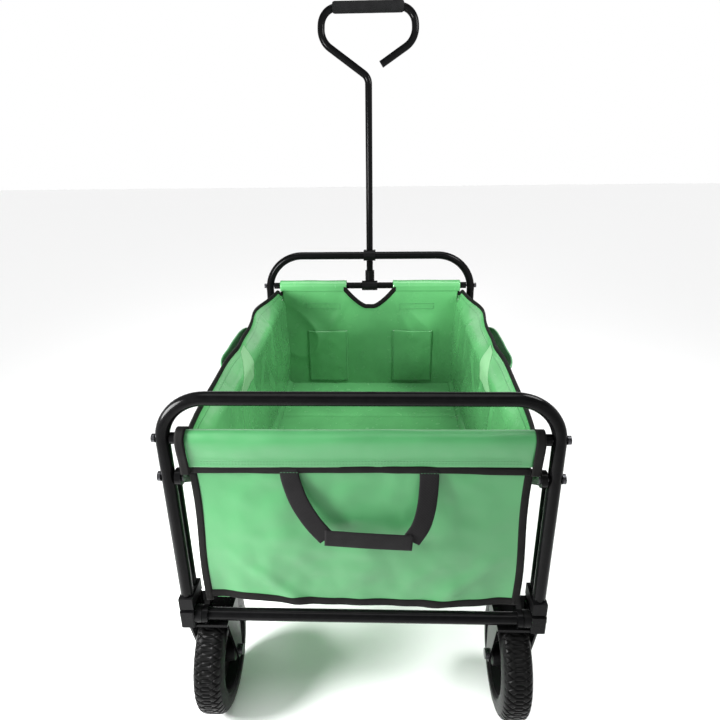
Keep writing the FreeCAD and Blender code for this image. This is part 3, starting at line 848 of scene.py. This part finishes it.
def tyre_profile(t, half, inner, outer):
    """From the inner bead round the tread to the other bead: offset, radius, tread share."""
    angle = math.pi * (1.0 - t)
    c, s = math.cos(angle), math.sin(angle)
    offset = squared(c, half, 0.45)
    radius = inner + (outer - inner) * abs(s) ** 0.55
    return offset, radius, ease((s - 0.45) / 0.3)


def make_tyre(node, body, blocks):
    centre, size = middle(node), half_size(node)
    half = size.x - 0.0002
    outer = size.z
    inner = outer - TYRE_DEPTH
    ring, rows = 736, 60
    points, faces = [], []
    for i in range(ring):
        angle = 2 * math.pi * i / ring
        for j in range(rows):
            offset, radius, share = tyre_profile(j / (rows - 1), half, inner, outer)
            block = tread(i / ring, offset / half / 2, blocks)
            radius -= GROOVE * share * (1 - block)
            points.append(centre + Vector((offset, radius * math.cos(angle), radius * math.sin(angle))))
    for i in range(ring):
        n = (i + 1) % ring
        for j in range(rows):
            m = (j + 1) % rows
            faces.append((i * rows + j, i * rows + m, n * rows + m, n * rows + j))
    tyre = mesh_object(f"{node}_tread", points, faces, rubber, body)
    tidy_normals(tyre)
    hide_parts(node)


def make_wheels():
    for side in ("left", "right"):
        make_tyre(f"rear_tyre_{side}", f"rear_wheel_{side}", 46)
        make_tyre(f"front_tyre_{side}", f"front_wheel_{side}", 42)


# ---------------------------------------------------------------- grip


def make_grip():
    centre, size = middle("handle_grip"), half_size("handle_grip")
    half, radius = size.x, size.z
    rounds, ring = 64, 40
    end_run = 0.006
    points, faces = [], []
    for i in range(rounds + 1):
        t = 2 * i / rounds - 1
        x = half * math.sin(t * math.pi / 2)
        end = max(0.0, (abs(x) - (half - end_run)) / end_run)
        r = radius * (1 - 0.34 * (1 - math.sqrt(max(0.0, 1 - end * end))))
        r *= 1 + 0.012 * wave((x, 0, 0), 60.0)
        for k in range(ring):
            angle = 2 * math.pi * k / ring
            points.append(centre + Vector((x, r * math.cos(angle), r * math.sin(angle))))
    for i in range(rounds):
        for k in range(ring):
            n = (k + 1) % ring
            faces.append((i * ring + k, i * ring + n, (i + 1) * ring + n, (i + 1) * ring + k))
    faces.append(tuple(range(ring)))
    faces.append(tuple(reversed(range(rounds * ring, (rounds + 1) * ring))))
    grip = mesh_object("foam_grip", points, faces, foam, "handle")
    tidy_normals(grip)
    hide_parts("handle_grip")


# ---------------------------------------------------------------- studio and camera

LENS_MM = 28.8
SENSOR_MM = 36.0
CAMERA_PLACE = Vector((0.0287, -1.0592, 0.8887))
PITCH, YAW, ROLL = math.radians(21.79), math.radians(-2.22), math.radians(-0.79)
FLOOR_REACH = 9.0


def make_camera():
    ahead = Vector((math.sin(YAW) * math.cos(PITCH), math.cos(YAW) * math.cos(PITCH), -math.sin(PITCH)))
    level = Vector((math.cos(YAW), -math.sin(YAW), 0))
    square = level.cross(ahead)
    right = level * math.cos(ROLL) + square * math.sin(ROLL)
    up = square * math.cos(ROLL) - level * math.sin(ROLL)
    data = bpy.data.cameras.new("camera")
    data.lens = LENS_MM
    data.sensor_width = SENSOR_MM
    camera = bpy.data.objects.new("camera", data)
    turn = Matrix((right, up, -ahead)).transposed().to_4x4()
    camera.matrix_world = Matrix.Translation(CAMERA_PLACE) @ turn
    bpy.context.scene.collection.objects.link(camera)
    bpy.context.scene.camera = camera


def place_light(name, kind, place, target, power, **values):
    data = bpy.data.lights.new(name, kind)
    data.energy = power
    for key, value in values.items():
        setattr(data, key, value)
    light = bpy.data.objects.new(name, data)
    light.location = place
    light.rotation_euler = (Vector(target) - Vector(place)).to_track_quat("-Z", "Y").to_euler()
    light.visible_camera = False
    bpy.context.scene.collection.objects.link(light)


def make_world():
    """White near the horizon and dim above it, so that black gloss stays black."""
    world = bpy.data.worlds.new("studio")
    bpy.context.scene.world = world
    world.use_nodes = True
    nodes, links = world.node_tree.nodes, world.node_tree.links
    direction = nodes.new("ShaderNodeTexCoord")
    split = nodes.new("ShaderNodeSeparateXYZ")
    ramp = nodes.new("ShaderNodeValToRGB")
    ramp.color_ramp.elements[0].position = 0.24
    ramp.color_ramp.elements[0].color = grey(1.0)
    ramp.color_ramp.elements[1].position = 0.5
    ramp.color_ramp.elements[1].color = grey(0.22)
    links.new(direction.outputs["Generated"], split.inputs["Vector"])
    links.new(split.outputs["Z"], ramp.inputs["Fac"])
    links.new(ramp.outputs["Color"], nodes["Background"].inputs["Color"])


def make_studio():
    bpy.context.scene.view_settings.view_transform = "Standard"
    make_world()
    place_light("key", "AREA", (-0.85, -0.64, 0.72), (0, -0.4, 0.4), 32, shape="DISK", size=0.45)
    place_light("inner", "AREA", (0.8, -0.1, 1.3), (-0.2, 0.1, 0.4), 14, shape="DISK", size=0.5)
    place_light("ceiling", "SUN", (0, 0, 3), (0.1, 0.1, 0), 2.0, angle=0.8)
    signs = ((-1, -1), (1, -1), (1, 1), (-1, 1))
    points = [(x * FLOOR_REACH, y * FLOOR_REACH, -0.001) for x, y in signs]
    white = new_material("studio_floor", (0.95, 0.95, 0.95), 0.9)
    mesh = bpy.data.meshes.new("floor")
    mesh.from_pydata(points, [], [(0, 1, 2, 3)])
    mesh.materials.append(white)
    floor = bpy.data.objects.new("floor", mesh)
    bpy.context.scene.collection.objects.link(floor)


make_camera()
make_studio()
dress_cad_nodes()
make_rear_end()
make_carry_strap()
make_tub()
make_front_end()
make_side_pockets()
make_wheels()
make_grip()
